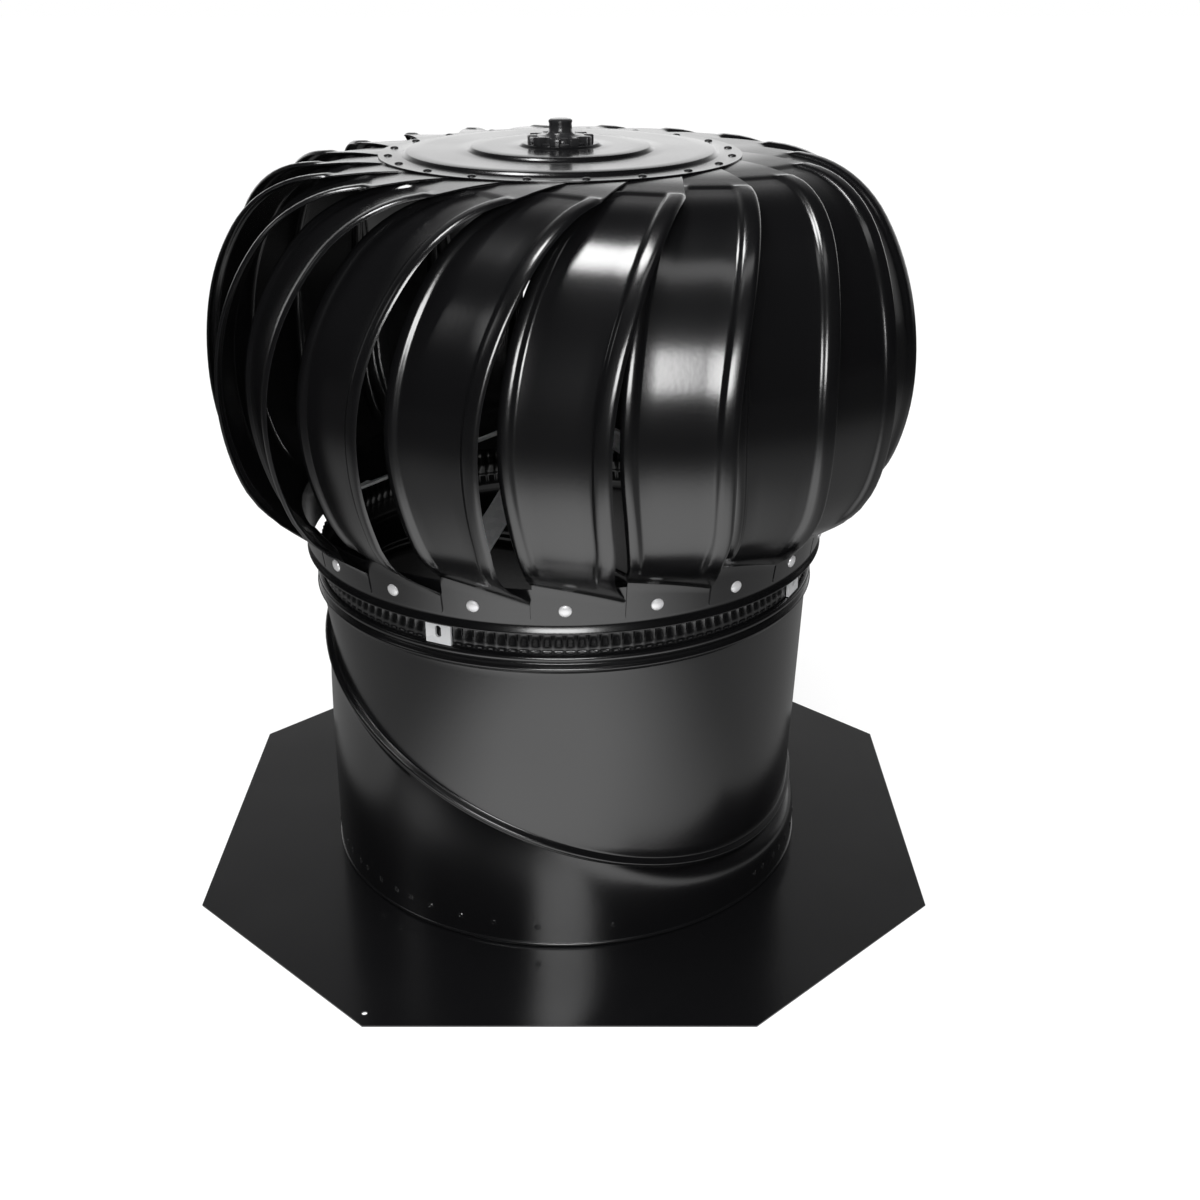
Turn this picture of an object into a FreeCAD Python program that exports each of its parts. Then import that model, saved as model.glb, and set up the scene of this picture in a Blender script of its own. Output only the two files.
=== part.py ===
"""Wind-driven turbine roof vent on an adjustable-pitch flashing base.

Three bodies: the base (plate and lower collar), the upper duct (upper collar, throat, braces and
fixed shaft), which turns on an oblique seam, and the turbine head, which spins on the shaft.
Millimetres, +Z up. The origin is the middle of the duct at the underside of the flashing plate.
Angles round the duct are measured from the front (-Y) towards the right (+X).
"""
import FreeCAD, Part
from FreeCAD import Placement, Rotation, Vector
from math import atan2, cos, pi, radians, sin, sqrt, tan
import os

# Flashing plate
plateHalf = 225.7          # half of the square plate
plateCut = 115.6           # length cut from each side at a corner
hangHoleRadius = 1.7
hangHoleInset = 11.0       # from the front edge
sheet = 0.8                # gauge of all the black steel sheet

# Duct, throat and neck
ductRadius = 153.0         # outside of both collars where they are round
lapGap = 0.2               # between two sheets that slip into each other
neckTop = 16.0
collarTop = 194.5
beadDrop = 11.0            # foot of the stiffening bead, below the collar's rim
beadBase = collarTop - beadDrop
beadHeight = 6.0
beadDepth = 3.0
hemHeight = 3.5
hemDepth = 2.4
throatRise = 19.5          # the throat stands this far out of the collar, up inside the head's ring
throatTop = collarTop + throatRise
throatBottom = beadBase

# Oblique swivel seam
seamHeight = 102.0
seamTilt = 24.0            # the roof pitch it can take up is twice this
seamAzimuth = -24.0        # direction of the low side, from +X towards +Y
seamRadius = 159.0         # outside of the sheet at the seam
flangeReach = 3.0
flangeHold = 1.3           # how far the turned hem reaches under the flange
runGap = 0.3               # clearance all round the turning flange
blendRoom = 1.5            # each collar leaves its round shape this far from the neck or the bead
lowerBlend = neckTop + blendRoom
upperBlend = beadBase - blendRoom
collarSides = 72           # flats round both collars

# Brace straps and shaft
strapWidth = 16.0
strapSheet = 1.6
strapRise = 26.0           # slope of the arms
strapFlat = 24.0           # half length of the flat middle
strapAzimuth = -26.0
strapBendRoom = 1.0        # from the throat's inside to where an arm starts to rise
hookDrop = 19.0            # the strap's hooked end, below the throat's rim
hookBottom = throatTop - hookDrop
slotRadius = 1.9           # half width of the slot in each tab
slotLength = 7.0
slotCorner = 1.1
slotDrop = 11.6            # middle of the slot, below the throat's rim
slotMiddle = throatTop - slotDrop
shaftRadius = 5.0
shaftBelow = 16.0          # reach of the shaft below the straps
shaftAbove = 2.0           # and above the lock nut
nutAcross = 17.0
nutHeight = 7.0
holeSides = 16

# Turbine head
bladeCount = 20
headSides = 2 * bladeCount  # flats round the cap and the lower ring
capRadius = 104.5
headRise = 227.0           # from the throat's rim up to the cap
capUnder = throatTop + headRise
capStep = 2.0
capStepRun = 3.0           # length of the slope between two plateaus
capOuterStep = 89.7
capInnerStep = 52.6
capBossRadius = 23.0
capBossHeight = 3.6
ringHeight = 28.0
ringBottomRadius = 158.6   # outside of the lower ring at its bottom edge
ringFlare = 8.4            # slope of the ring from upright, in degrees
ringLip = 2.0
ringLipHeight = 3.0

# Blade, in its own bending plane: u runs outwards, w across the strip towards the free edge
bladeTurn = 15.07          # turn of the bending plane back from the blade's azimuth
bladeFlatEnd = 78.0        # where the flat under the cap ends
bladeSlope = 6.0           # fall of the sheet beyond the flat
bladeSlopeRun = 32.6
shoulderRadius = 78.0
shoulderEnd = 52.0         # heading at the end of each arc, from outwards to down
sideRadius = 140.0
sideEnd = 112.0
bottomRadius = 64.0
bottomEnd = 146.0
bottomRun = 30.0
shoulderFacets = 4         # each bend is pressed in flats, to keep the repeated blade light
sideFacets = 6
bottomFacets = 3
innerEdge = 24.5           # w of the two long edges at the widest part
freeEdge = 81.5
innerEdgeLow = 30.0        # both edges come in a little at the bottom
freeEdgeLow = 76.5
edgeTaperTop = 32.0        # above the ring, where the free edge starts to come in
edgeTaperRise = 7.0        # and where both edges have come in
rootStart = 36.6           # the blade's share of the rim, from the u axis
rootEnd = 54.0
rootInner = 91.0
rootMargin = 6.0           # sheet that is trimmed away inside the root
cornerU = 108.0            # corner of the free edge beside the cap
cornerW = 97.0
freeMidU = 144.0           # two points on the free edge's long curve
freeMidW = 95.6
freeUpperU = 173.0
freeUpperW = 89.8
foldRise = 30.3            # end of the last bend, above the ring's bottom edge
tabRise = 7.5              # bottom edge of the tab, above the ring's
foldRoom = 22.0            # above the ring, where the tab's sheet is trimmed at the fold
trimRoom = 20.0            # how far the blocks that trim a blade reach past it
tabStart = -5.9            # the tab's ends, from its rivet
tabEnd = 11.8
rivetRise = 15.3           # middle of the ring rivets, above the ring's bottom edge
rivetStart = 1.4           # azimuth of the first ring rivet
rivetHead = 3.5
rivetHeadHeight = 1.6
rivetSides = 6
capRivetCircle = 98.5
capRivetStart = -8.9
capRivetHead = 2.5
capRivetHeight = 1.0

# Bearing housing
housingRadius = 16.0
lobeTip = 19.0             # castellated flange on the boss
lobeRoot = 16.6
lobeCount = 10
housingFlangeHeight = 6.0
housingRoof = 2.0
housingDepth = 62.0        # below the boss
housingNoseRadius = 7.0
housingNoseHeight = 10.6
bearingRadius = 13.0
bearingHeight = 8.0
raceGap = 0.05
bearingDrop = 1.0          # upper bearing, below the cap's top face
bearingRecess = 4.0        # lower bearing, above the housing's bottom edge
lockNutGap = 1.0
seatSides = 12             # the rings are keyed in the housing by their flats

# Heights of the lower ring, which hangs from the blades
bladeDrop = bladeSlopeRun * sin(radians(bladeSlope))
bladeDrop += shoulderRadius * (cos(radians(bladeSlope)) - cos(radians(shoulderEnd)))
bladeDrop += sideRadius * (cos(radians(shoulderEnd)) - cos(radians(sideEnd)))
bladeDrop += bottomRadius * (cos(radians(sideEnd)) - cos(radians(bottomEnd)))
ringBottom = capUnder - bladeDrop - foldRise
ringTop = ringBottom + ringHeight
tabFoot = ringBottom + tabRise
tabTop = ringTop + foldRoom
rivetHeight = ringBottom + rivetRise
edgeTaperFoot = ringTop + edgeTaperRise

Z = Vector(0, 0, 1)


def turned(shape, angle):
    """The shape turned about the duct's axis."""
    copy = shape.copy()
    copy.rotate(Vector(0, 0, 0), Z, angle)
    return copy


def spun(points):
    """Solid of revolution about +Z of a closed outline of (radius, height) points."""
    wire = Part.makePolygon([Vector(r, 0, z) for r, z in points + points[:1]])
    return Part.Face(wire).revolve(Vector(0, 0, 0), Z, 360)


def tube(outer, inner, bottom, top):
    return spun([(inner, bottom), (outer, bottom), (outer, top), (inner, top)])


def prism(points, bottom, top):
    """Upright prism over a plan outline."""
    wire = Part.makePolygon([Vector(x, y, bottom) for x, y in points + points[:1]])
    return Part.Face(wire).extrude(Vector(0, 0, top - bottom))


def polygonPrism(radius, sides, height):
    points = []
    for i in range(sides):
        a = 2 * pi * (i + 0.5) / sides
        points.append((radius * cos(a), radius * sin(a)))
    return prism(points, 0, height)


def flatSided(points, sides, first):
    """Like spun, in flat sides. The middle of one side is at the first angle from +X."""
    half = pi / sides
    corners = []
    for i in range(sides):
        a = radians(first) + (2 * i + 1) * half
        corners.append([Vector(r * cos(a), r * sin(a), z) for r, z in points])
    faces = []
    for i in range(sides):
        near, far = corners[i], corners[(i + 1) % sides]
        for j in range(len(points)):
            k = (j + 1) % len(points)
            faces.append(Part.Face(Part.makePolygon([near[j], far[j], far[k], near[k], near[j]])))
    merged = Part.makeSolid(Part.makeShell(faces)).removeSplitter()
    if merged.Volume < 0:
        merged.reverse()
    return merged


turnSeam = Rotation(Z, seamAzimuth)
seamPlace = Placement(Vector(0, 0, seamHeight), turnSeam.multiply(Rotation(Vector(0, 1, 0), seamTilt)))


def collarCircle(radius, height):
    """Corners of the collars' flats on a level circle, from the seam's low side."""
    corners = []
    for i in range(collarSides):
        a = 2 * pi * i / collarSides
        corners.append(turnSeam.multVec(Vector(radius * cos(a), radius * sin(a), height)))
    return corners


def seamCircle(radius, height):
    """The same corners on a circle in the seam's own frame."""
    corners = []
    for i in range(collarSides):
        a = 2 * pi * i / collarSides
        corners.append(seamPlace.multVec(Vector(radius * cos(a), radius * sin(a), height)))
    return corners


def banded(rows):
    """Solid wrapped in flats round a loop of rows of corners; the last row meets the first."""
    faces = []
    for j, row in enumerate(rows):
        after = rows[(j + 1) % len(rows)]
        for i in range(len(row)):
            k = (i + 1) % len(row)
            faces.append(Part.Face(Part.makePolygon([row[i], row[k], after[k], row[i]])))
            faces.append(Part.Face(Part.makePolygon([row[i], after[k], after[i], row[i]])))
    merged = Part.makeSolid(Part.makeShell(faces)).removeSplitter()
    if merged.Volume < 0:
        merged.reverse()
    return merged


def flashingPlate():
    corner = plateHalf - plateCut
    outline = []
    for turn in range(4):
        for x, y in ((-corner, -plateHalf), (corner, -plateHalf)):
            a = turn * pi / 2
            outline.append((x * cos(a) - y * sin(a), x * sin(a) + y * cos(a)))
    neckOuter = ductRadius - sheet - lapGap
    neckInner = neckOuter - sheet
    neck = Part.makeCylinder(neckOuter, neckTop, Vector(0, 0, 0), Z)
    bore = Part.makeCylinder(neckInner, neckTop, Vector(0, 0, 0), Z)
    hole = polygonPrism(hangHoleRadius, 8, sheet)
    hole.translate(Vector(-corner, hangHoleInset - plateHalf, 0))
    return prism(outline, 0, sheet).fuse(neck).cut(bore).cut(hole)


def lowerCollar():
    """Round at the foot, drawn into the seam, with a flange for the upper collar to turn on."""
    inner = ductRadius - sheet
    return banded([
        collarCircle(inner, sheet),
        collarCircle(ductRadius, sheet),
        collarCircle(ductRadius, lowerBlend),
        seamCircle(seamRadius, -sheet),
        seamCircle(seamRadius + flangeReach, -sheet),
        seamCircle(seamRadius + flangeReach, 0),
        seamCircle(seamRadius - sheet, 0),
        seamCircle(seamRadius - sheet, -sheet),
        collarCircle(inner, lowerBlend),
    ])


def upperCollar():
    """Turned hem that grips the flange, the drawn wall, a bead and a hemmed rim."""
    inner = ductRadius - sheet
    tip = seamRadius + flangeReach + runGap
    lip = seamRadius + flangeReach - flangeHold
    outer = tip + sheet
    return banded([
        seamCircle(seamRadius - sheet, runGap),
        seamCircle(tip, runGap),
        seamCircle(tip, -sheet - runGap),
        seamCircle(lip, -sheet - runGap),
        seamCircle(lip, -sheet * 2 - runGap),
        seamCircle(outer, -sheet * 2 - runGap),
        seamCircle(outer, sheet + runGap),
        seamCircle(seamRadius, sheet + runGap),
        collarCircle(ductRadius, upperBlend),
        collarCircle(ductRadius, beadBase),
        collarCircle(ductRadius + beadDepth, beadBase + beadHeight / 2),
        collarCircle(ductRadius, beadBase + beadHeight),
        collarCircle(ductRadius, collarTop - hemHeight),
        collarCircle(ductRadius + hemDepth, collarTop - hemHeight),
        collarCircle(ductRadius + hemDepth, collarTop),
        collarCircle(inner, collarTop),
        collarCircle(inner, upperBlend),
        seamCircle(seamRadius - sheet, sheet + runGap),
    ])


def crimpedThroat():
    outer = ductRadius - sheet - lapGap
    return tube(outer, outer - sheet, throatBottom, throatTop)


def strapCentre():
    """Height of the underside of the lower strap's flat middle."""
    edge = ductRadius - sheet - lapGap - sheet - strapBendRoom
    return throatTop + (edge - strapFlat) * tan(radians(strapRise))


def braceStrap(lift):
    """Strap along +X: up from the throat's rim to a flat middle, and hooked over the rim outside."""
    throatOuter = ductRadius - sheet - lapGap
    edge = throatOuter - sheet - strapBendRoom
    flat = strapCentre() + lift
    t = strapSheet
    hook = throatOuter + lapGap
    rise = flat - throatTop
    slant = t / cos(atan2(rise, edge - strapFlat))
    half = [
        (0, flat),
        (strapFlat, flat),
        (edge, throatTop),
        (hook, throatTop),
        (hook, hookBottom),
        (hook + t, hookBottom),
        (hook + t, throatTop + t),
        (edge + (slant - t) * (edge - strapFlat) / rise, throatTop + t),
        (strapFlat + (slant - t) * (edge - strapFlat) / rise, flat + t),
        (0, flat + t),
    ]
    wire = Part.makePolygon([Vector(x, -strapWidth / 2, z) for x, z in half + half[:1]])
    arm = Part.Face(wire).extrude(Vector(0, strapWidth, 0))
    slot = []
    for side, end in ((1, -1), (1, 1), (-1, 1), (-1, -1)):
        straight = (side * slotRadius, end * (slotLength / 2 - slotCorner))
        rounded = (side * (slotRadius - slotCorner), end * slotLength / 2)
        slot += [straight, rounded] if side * end > 0 else [rounded, straight]
    cutter = prism(slot, 0, 4 * t)
    cutter.rotate(Vector(0, 0, 0), Vector(0, 1, 0), 90)
    cutter.rotate(Vector(0, 0, 0), Vector(1, 0, 0), 90)
    cutter.translate(Vector(hook - t, 0, slotMiddle))
    arm = arm.cut(cutter)
    strap = arm.fuse(turned(arm, 180)).removeSplitter()
    hole = Part.makeCylinder(shaftRadius + 0.05, 4 * t, Vector(0, 0, flat - t), Z)
    return strap.cut(hole)


def placedStrap(lift, azimuth):
    """The strap turned to an azimuth, which counts from -Y."""
    return turned(braceStrap(lift), azimuth - 90)


def shaftBottom():
    return strapCentre() - shaftBelow


def upperBearingBase():
    return capUnder + sheet - bearingHeight - bearingDrop


def lowerBearingBase():
    return capUnder - housingDepth + bearingRecess


def lockNutBase():
    return upperBearingBase() + bearingHeight + lockNutGap


def shaft():
    bottom = shaftBottom()
    return Part.makeCylinder(shaftRadius, lockNutBase() + nutHeight + shaftAbove - bottom, Vector(0, 0, bottom), Z)


def hexNut(height, base):
    """Nut whose threaded hole is a plain polygon just clear of the shaft."""
    hole = polygonPrism((shaftRadius + 0.05) / cos(pi / holeSides), holeSides, height)
    nut = polygonPrism(nutAcross / sqrt(3), 6, height).cut(hole)
    nut.translate(Vector(0, 0, base))
    return nut


def braceNuts():
    """One nut under the crossed straps and one on top of them."""
    under = strapCentre() - nutHeight
    over = strapCentre() + 2 * strapSheet
    return Part.makeCompound([hexNut(nutHeight, under), hexNut(nutHeight, over)])


def bearings():
    """Two plain rings that run on the shaft, near the cap and at the foot of the housing."""
    rings = []
    for base in (lowerBearingBase(), upperBearingBase()):
        ring = polygonPrism(bearingRadius, seatSides, bearingHeight)
        ring.translate(Vector(0, 0, base))
        bore = Part.makeCylinder(shaftRadius + raceGap, bearingHeight, Vector(0, 0, base), Z)
        rings.append(ring.cut(bore))
    return Part.makeCompound(rings)


def bossTop():
    return capUnder + sheet + 2 * capStep + capBossHeight


def capPlate():
    """Stepped sheet disc with a raised boss round the bearing housing."""
    z = capUnder + sheet
    upper = [
        (capRadius, z),
        (capOuterStep + capStepRun / 2, z),
        (capOuterStep - capStepRun / 2, z + capStep),
        (capInnerStep + capStepRun / 2, z + capStep),
        (capInnerStep - capStepRun / 2, z + 2 * capStep),
        (capBossRadius + capStepRun / 2, z + 2 * capStep),
        (capBossRadius - capStepRun / 2, bossTop()),
        (housingRadius + lapGap, bossTop()),
    ]
    lower = [(r, height - sheet) for r, height in reversed(upper)]
    return flatSided(upper + lower, headSides, 0)


def bearingHousing():
    """Moulded barrel for both bearings, with a lobed flange on the boss and a closed nose."""
    flange = bossTop()
    bottom = capUnder - housingDepth
    barrel = Part.makeCylinder(housingRadius, flange - bottom, Vector(0, 0, bottom), Z)
    pitch = 2 * pi / lobeCount
    outline = []
    for i in range(lobeCount):
        for part, radius in ((0.0, lobeRoot), (0.2, lobeRoot), (0.28, lobeTip), (0.92, lobeTip)):
            a = (i + part) * pitch
            outline.append((radius * cos(a), radius * sin(a)))
    lobes = prism(outline, flange, flange + housingFlangeHeight)
    nose = Part.makeCylinder(housingNoseRadius, housingNoseHeight, Vector(0, 0, flange), Z)
    roof = flange + housingFlangeHeight - housingRoof
    bore = polygonPrism(bearingRadius, seatSides, roof - bottom)
    bore.translate(Vector(0, 0, bottom))
    return barrel.fuse([lobes, nose]).cut(bore)


def ringRadius(z):
    return ringBottomRadius + (z - ringBottom) * tan(radians(ringFlare))


def lowerRing():
    """Flared band that carries the blades' lower ends, with its bottom edge turned outwards."""
    outline = [
        (ringBottomRadius - sheet, ringBottom),
        (ringBottomRadius + ringLip, ringBottom),
        (ringRadius(ringBottom + ringLipHeight), ringBottom + ringLipHeight),
        (ringRadius(ringTop), ringTop),
        (ringRadius(ringTop) - sheet, ringTop),
    ]
    return flatSided(outline, headSides, rivetStart - 90)


def bladeLine(depth):
    """Points along the blade's bent outline, a depth inside its outer face."""
    slope = radians(bladeSlope)
    start = rootInner * cos(radians(rootEnd)) - rootMargin
    knee = (bladeFlatEnd - depth * tan(slope / 2), capUnder - depth)
    run = bladeSlopeRun + depth * tan(slope / 2)
    u = knee[0] + run * cos(slope)
    z = knee[1] - run * sin(slope)
    line = [(start, capUnder - depth), knee, (u, z)]
    heading = bladeSlope
    bends = (
        (shoulderRadius, shoulderEnd, shoulderFacets),
        (sideRadius, sideEnd, sideFacets),
        (bottomRadius, bottomEnd, bottomFacets),
    )
    for radius, end, facets in bends:
        r = radius - depth
        for i in range(1, facets + 1):
            turn = radians(heading + (end - heading) * i / facets)
            du = r * (sin(turn) - sin(radians(heading)))
            dz = r * (cos(turn) - cos(radians(heading)))
            line.append((u + du, z + dz))
        u, z = line[-1]
        heading = end
    out = radians(bottomEnd)
    line.append((u + bottomRun * cos(out), z - bottomRun * sin(out)))
    return line


def sideProfile(points):
    """A block wider than the blade whose side view is a closed outline of (u, z) points."""
    wire = Part.makePolygon([Vector(u, 0, z) for u, z in points + points[:1]])
    return Part.Face(wire).extrude(Vector(0, cornerW + trimRoom, 0))


def bentStrip():
    """The sheet before its edges are cut, as wide as the blade ever gets."""
    return sideProfile(bladeLine(0) + bladeLine(sheet)[::-1])


def underStrip():
    """Everything below the blade's turned-in lower end, where the tab folds down."""
    line = bladeLine(sheet / 2)[-bottomFacets - 2:]
    foot = ringBottom - trimRoom
    return sideProfile(line + [(line[-1][0], foot), (line[0][0], foot)])


def widestU():
    u = bladeFlatEnd + bladeSlopeRun * cos(radians(bladeSlope))
    u += shoulderRadius * (sin(radians(shoulderEnd)) - sin(radians(bladeSlope)))
    return u + sideRadius * (1 - sin(radians(shoulderEnd)))


def widestZ():
    z = capUnder - bladeSlopeRun * sin(radians(bladeSlope))
    z += shoulderRadius * (cos(radians(shoulderEnd)) - cos(radians(bladeSlope)))
    return z - sideRadius * cos(radians(shoulderEnd))


def polar(radius, angle):
    return radius * cos(radians(angle)), radius * sin(radians(angle))


def upperOutline():
    """Plan outline of the blade above its widest part, from the rim outwards."""
    top = capUnder + sheet
    points = [
        polar(rootInner, rootEnd),
        polar(rootInner, rootStart),
        polar(capRadius, rootStart),
        (widestU(), innerEdge),
        (widestU() + trimRoom, innerEdge),
        (widestU() + trimRoom, freeEdge),
        (widestU(), freeEdge),
        (freeUpperU, freeUpperW),
        (freeMidU, freeMidW),
        (cornerU, cornerW),
        polar(capRadius, rootEnd),
    ]
    return prism(points, widestZ(), top)


def lowerOutline():
    """Outline below the widest part, seen along u."""
    foot = ringBottom - trimRoom
    points = [
        (innerEdge, widestZ()),
        (freeEdge, widestZ()),
        (freeEdge, ringTop + edgeTaperTop),
        (freeEdgeLow, edgeTaperFoot),
        (freeEdgeLow, foot),
        (innerEdgeLow, foot),
        (innerEdgeLow, edgeTaperFoot),
    ]
    wire = Part.makePolygon([Vector(0, w, z) for w, z in points + points[:1]])
    return Part.Face(wire).extrude(Vector(widestU() + trimRoom, 0, 0))


def tabShell(inner, outer, bottom, top):
    """Flat-sided wall just outside the ring, in the first blade's frame."""
    points = [(ringRadius(z) + away, z) for away, z in ((inner, bottom), (outer, bottom), (outer, top), (inner, top))]
    return flatSided(points, headSides, rivetStart + bladeTurn)


def bladeTab():
    """The blade's lower end, which lies on the ring and reaches up to the fold."""
    turn = rivetStart + bladeTurn
    far = 2 * ringBottomRadius
    wedge = prism([(0, 0), polar(far, tabStart + turn), polar(far, tabEnd + turn)], tabFoot, tabTop)
    return tabShell(0, sheet, tabFoot - sheet, tabTop + sheet).common(wedge).common(underStrip())


def ringSolid():
    """Everything inside the tabs' inner faces, which the blade's sheet stops at."""
    return tabShell(-ringBottomRadius / 2, 0, ringBottom - trimRoom, tabTop)


def firstBlade():
    """One blade, in the frame where +X is the outward direction of its bending plane."""
    strip = bentStrip()
    upper = strip.common(upperOutline())
    lower = strip.common(lowerOutline()).cut(ringSolid())
    return upper.fuse([lower, bladeTab()]).removeSplitter()


def ringRivets():
    """Rivet heads on the tabs, with a few flats for their round outline."""
    rivets = []
    head = polygonPrism(rivetHead, rivetSides, rivetHeadHeight)
    head.rotate(Vector(0, 0, 0), Vector(0, 1, 0), 90 + ringFlare)
    seat = (ringRadius(rivetHeight) + sheet) * cos(pi / headSides)
    head.translate(Vector(seat, 0, rivetHeight))
    for i in range(bladeCount):
        rivets.append(turned(head, rivetStart - 90 + i * 360 / bladeCount))
    return Part.makeCompound(rivets)


def capRivets():
    rivets = []
    head = polygonPrism(capRivetHead, rivetSides, capRivetHeight)
    head.translate(Vector(capRivetCircle, 0, capUnder + sheet))
    for i in range(bladeCount):
        rivets.append(turned(head, capRivetStart - 90 + i * 360 / bladeCount))
    return Part.makeCompound(rivets)


def build():
    """Every sub-part by its node name."""
    parts = {
        "flashing_plate": flashingPlate(),
        "lower_collar": lowerCollar(),
        "upper_collar": upperCollar(),
        "crimped_throat": crimpedThroat(),
        "lower_brace_strap": placedStrap(0, strapAzimuth),
        "upper_brace_strap": placedStrap(strapSheet, strapAzimuth + 90),
        "shaft": shaft(),
        "brace_nuts": braceNuts(),
        "lock_nut": hexNut(nutHeight, lockNutBase()),
        "cap_plate": capPlate(),
        "lower_ring": lowerRing(),
        "ring_rivets": ringRivets(),
        "cap_rivets": capRivets(),
        "bearing_housing": bearingHousing(),
        "bearings": bearings(),
    }
    blade = firstBlade()
    for i in range(bladeCount):
        parts["blade_%02d" % (i + 1)] = turned(blade, i * 360 / bladeCount - bladeTurn - 90)
    return parts


os.makedirs("parts", exist_ok=True)
for name, shape in build().items():
    shape.exportStep("parts/%s.step" % name)
    print(name, "solids", len(shape.Solids), "valid", shape.isValid(), "volume %.0f" % shape.Volume)
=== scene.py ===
import bmesh
import bpy
from math import atan2, cos, hypot, pi, radians, sin, tan
from mathutils import Matrix, Vector
from mathutils.noise import noise
from numpy import interp


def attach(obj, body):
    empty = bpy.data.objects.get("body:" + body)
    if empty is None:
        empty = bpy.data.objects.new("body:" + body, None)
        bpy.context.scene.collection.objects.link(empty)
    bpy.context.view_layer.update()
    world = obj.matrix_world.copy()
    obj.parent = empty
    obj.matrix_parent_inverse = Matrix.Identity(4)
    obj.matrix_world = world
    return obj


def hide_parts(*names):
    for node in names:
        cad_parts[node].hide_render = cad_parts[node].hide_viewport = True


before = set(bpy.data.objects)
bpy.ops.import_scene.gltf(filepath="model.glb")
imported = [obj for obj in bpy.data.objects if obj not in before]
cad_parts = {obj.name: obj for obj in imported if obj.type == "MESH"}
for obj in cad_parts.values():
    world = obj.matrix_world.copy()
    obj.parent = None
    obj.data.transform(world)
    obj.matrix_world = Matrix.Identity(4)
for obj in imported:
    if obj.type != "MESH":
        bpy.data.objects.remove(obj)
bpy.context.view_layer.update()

# Sizes are in millimetres and angles in degrees; each mesh is scaled to metres as it is finished
mm = 0.001
sheet = 0.8  # gauge of all painted sheet metal
bladeCount = 20
ductRadius = 153.0
seamTurn = -24.0  # where the seam's low side lies, from the right towards the front
seamTilt = 24.0
seamHeight = 102.0  # middle of the seam, above the roof
capUnder = 441.0  # underside of the cap plate, above the roof


# Node helpers

def newGroup(name, inputs, outputs):
    # Shader group whose inputs are plain numbers; gives back the tree and its input node
    tree = bpy.data.node_groups.new(name, "ShaderNodeTree")
    for label in inputs:
        tree.interface.new_socket(label, in_out="INPUT", socket_type="NodeSocketFloat")
    for label, kind in outputs:
        tree.interface.new_socket(label, in_out="OUTPUT", socket_type=kind)
    return tree, addNode(tree, "NodeGroupInput", (-900, 0))


def addNode(tree, kind, place, **settings):
    node = tree.nodes.new(kind)
    node.location = place
    for name, value in settings.items():
        setattr(node, name, value)
    return node


def setInputs(node, values):
    for name, value in values.items():
        node.inputs[name].default_value = value


def addNoise(tree, place, scale, detail):
    coords = addNode(tree, "ShaderNodeTexCoord", (place[0] - 200, place[1]))
    grain = addNode(tree, "ShaderNodeTexNoise", place)
    setInputs(grain, {"Scale": scale, "Detail": detail})
    tree.links.new(coords.outputs["Object"], grain.inputs["Vector"])
    return grain


def addSpan(tree, place, source, ends, kind="LINEAR"):
    # Turns the first two ends into the last two and holds them beyond
    span = addNode(tree, "ShaderNodeMapRange", place, interpolation_type=kind)
    setInputs(span, dict(zip(("From Min", "From Max", "To Min", "To Max"), ends)))
    tree.links.new(source, span.inputs["Value"])
    return span.outputs["Result"]


def addMath(tree, place, operation, first, second):
    step = addNode(tree, "ShaderNodeMath", place, operation=operation)
    tree.links.new(first, step.inputs[0])
    tree.links.new(second, step.inputs[1])
    return step.outputs["Value"]


# Shared effects

def makePaintGrain():
    # Faint orange peel of sprayed paint and cloudy changes of its gloss
    outputs = (("Normal", "NodeSocketVector"), ("Cloud", "NodeSocketFloat"))
    tree, given = newGroup("paintGrain", ("Peel", "Waviness"), outputs)
    peel = addNoise(tree, (-400, 200), 420.0, 2.0)
    wave = addNoise(tree, (-400, -60), 14.0, 1.0)
    fine = addNode(tree, "ShaderNodeBump", (-160, 200))
    setInputs(fine, {"Distance": 0.0004})
    broad = addNode(tree, "ShaderNodeBump", (0, 100))
    setInputs(broad, {"Distance": 0.002})
    cloud = addSpan(tree, (0, -120), wave.outputs["Fac"], (0.3, 0.7, 0.0, 1.0))
    out = addNode(tree, "NodeGroupOutput", (240, 0))
    tree.links.new(given.outputs["Peel"], fine.inputs["Strength"])
    tree.links.new(given.outputs["Waviness"], broad.inputs["Strength"])
    tree.links.new(peel.outputs["Fac"], fine.inputs["Height"])
    tree.links.new(wave.outputs["Fac"], broad.inputs["Height"])
    tree.links.new(fine.outputs["Normal"], broad.inputs["Normal"])
    tree.links.new(broad.outputs["Normal"], out.inputs["Normal"])
    tree.links.new(cloud, out.inputs["Cloud"])
    return tree


def makeEdgeHighlight():
    # Painted highlight on the corners, found where a rounded normal leaves the true one and broken into
    # patches by noise
    tree, given = newGroup("edgeHighlight", ("Width",), (("Mask", "NodeSocketFloat"),))
    rounded = addNode(tree, "ShaderNodeBevel", (-600, 100), samples=4)
    tree.links.new(given.outputs["Width"], rounded.inputs["Radius"])
    true = addNode(tree, "ShaderNodeNewGeometry", (-600, -100))
    match = addNode(tree, "ShaderNodeVectorMath", (-400, 0), operation="DOT_PRODUCT")
    tree.links.new(rounded.outputs["Normal"], match.inputs[0])
    tree.links.new(true.outputs["Normal"], match.inputs[1])
    corner = addSpan(tree, (-200, 0), match.outputs["Value"], (0.97, 0.80, 0.0, 1.0))
    patches = addNoise(tree, (-400, -300), 90.0, 3.0)
    broken = addMath(tree, (0, 0), "MULTIPLY", corner, patches.outputs["Fac"])
    out = addNode(tree, "NodeGroupOutput", (200, 0))
    tree.links.new(broken, out.inputs["Mask"])
    return tree


paintGrain = makePaintGrain()
edgeHighlight = makeEdgeHighlight()


# Materials

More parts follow.
